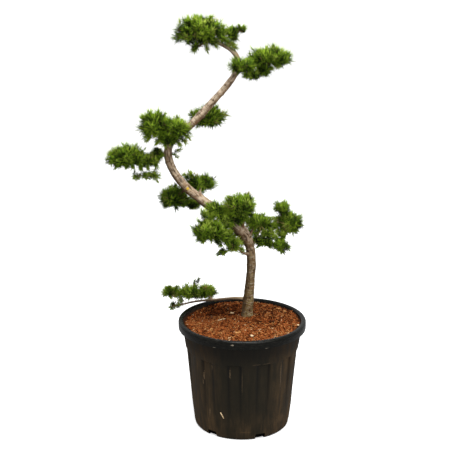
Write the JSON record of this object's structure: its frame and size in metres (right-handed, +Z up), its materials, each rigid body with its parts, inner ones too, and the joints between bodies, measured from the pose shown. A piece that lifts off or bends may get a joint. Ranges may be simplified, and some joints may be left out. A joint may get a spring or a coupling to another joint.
{
  "type": "cloud-pruned larch tree in a pot",
  "caption": "Young larch trained on a snaking trunk, its clipped pads of needles on short boughs, in a ribbed black nursery pot.",
  "frame": {"origin": "middle of the pot's flat underside", "axes": "+Z up, -Y the front, +X to the right seen from the front; the trunk's big bend swings out to -X"},
  "size_m": [0.7086, 0.4578, 1.4728],
  "materials": {
    "pot_plastic": "moulded black plastic, dusty with dried compost",
    "bark_compost": "loose chipped bark and coir fibre",
    "bark": "thin scaly bark",
    "needles": "soft green needles in tufts"
  },
  "bodies": {
    "root": {"bough_back_left": "bark", "bough_back_right": "bark", "bough_bend_left": "bark", "bough_far_left": "bark", "bough_far_sprig": "bark", "bough_front_low": "bark", "bough_front_sprig": "bark", "bough_front_top": "bark", "bough_low": "bark", "bough_low_right": "bark", "bough_right_inner": "bark", "bough_right_long": "bark", "bough_right_low": "bark", "bough_right_under": "bark", "bough_upper_back": "bark", "bough_upper_right": "bark", "compost": "bark_compost", "pad_back_left": "needles", "pad_back_right": "needles", "pad_bend": "needles", "pad_crown": "needles", "pad_far": "needles", "pad_far_sprig": "needles", "pad_front_low": "needles", "pad_front_sprig": "needles", "pad_front_top": "needles", "pad_low": "needles", "pad_low_tip": "needles", "pad_right_inner": "needles", "pad_right_low": "needles", "pad_right_outer": "needles", "pad_right_under": "needles", "pad_upper": "needles", "pad_upper_back": "needles", "pot": "pot_plastic", "trunk_foot": "bark", "trunk_high_bend": "bark", "trunk_leader": "bark", "trunk_low_bend": "bark", "trunk_middle": "bark", "trunk_upper": "bark"}
  },
  "joints": []
}
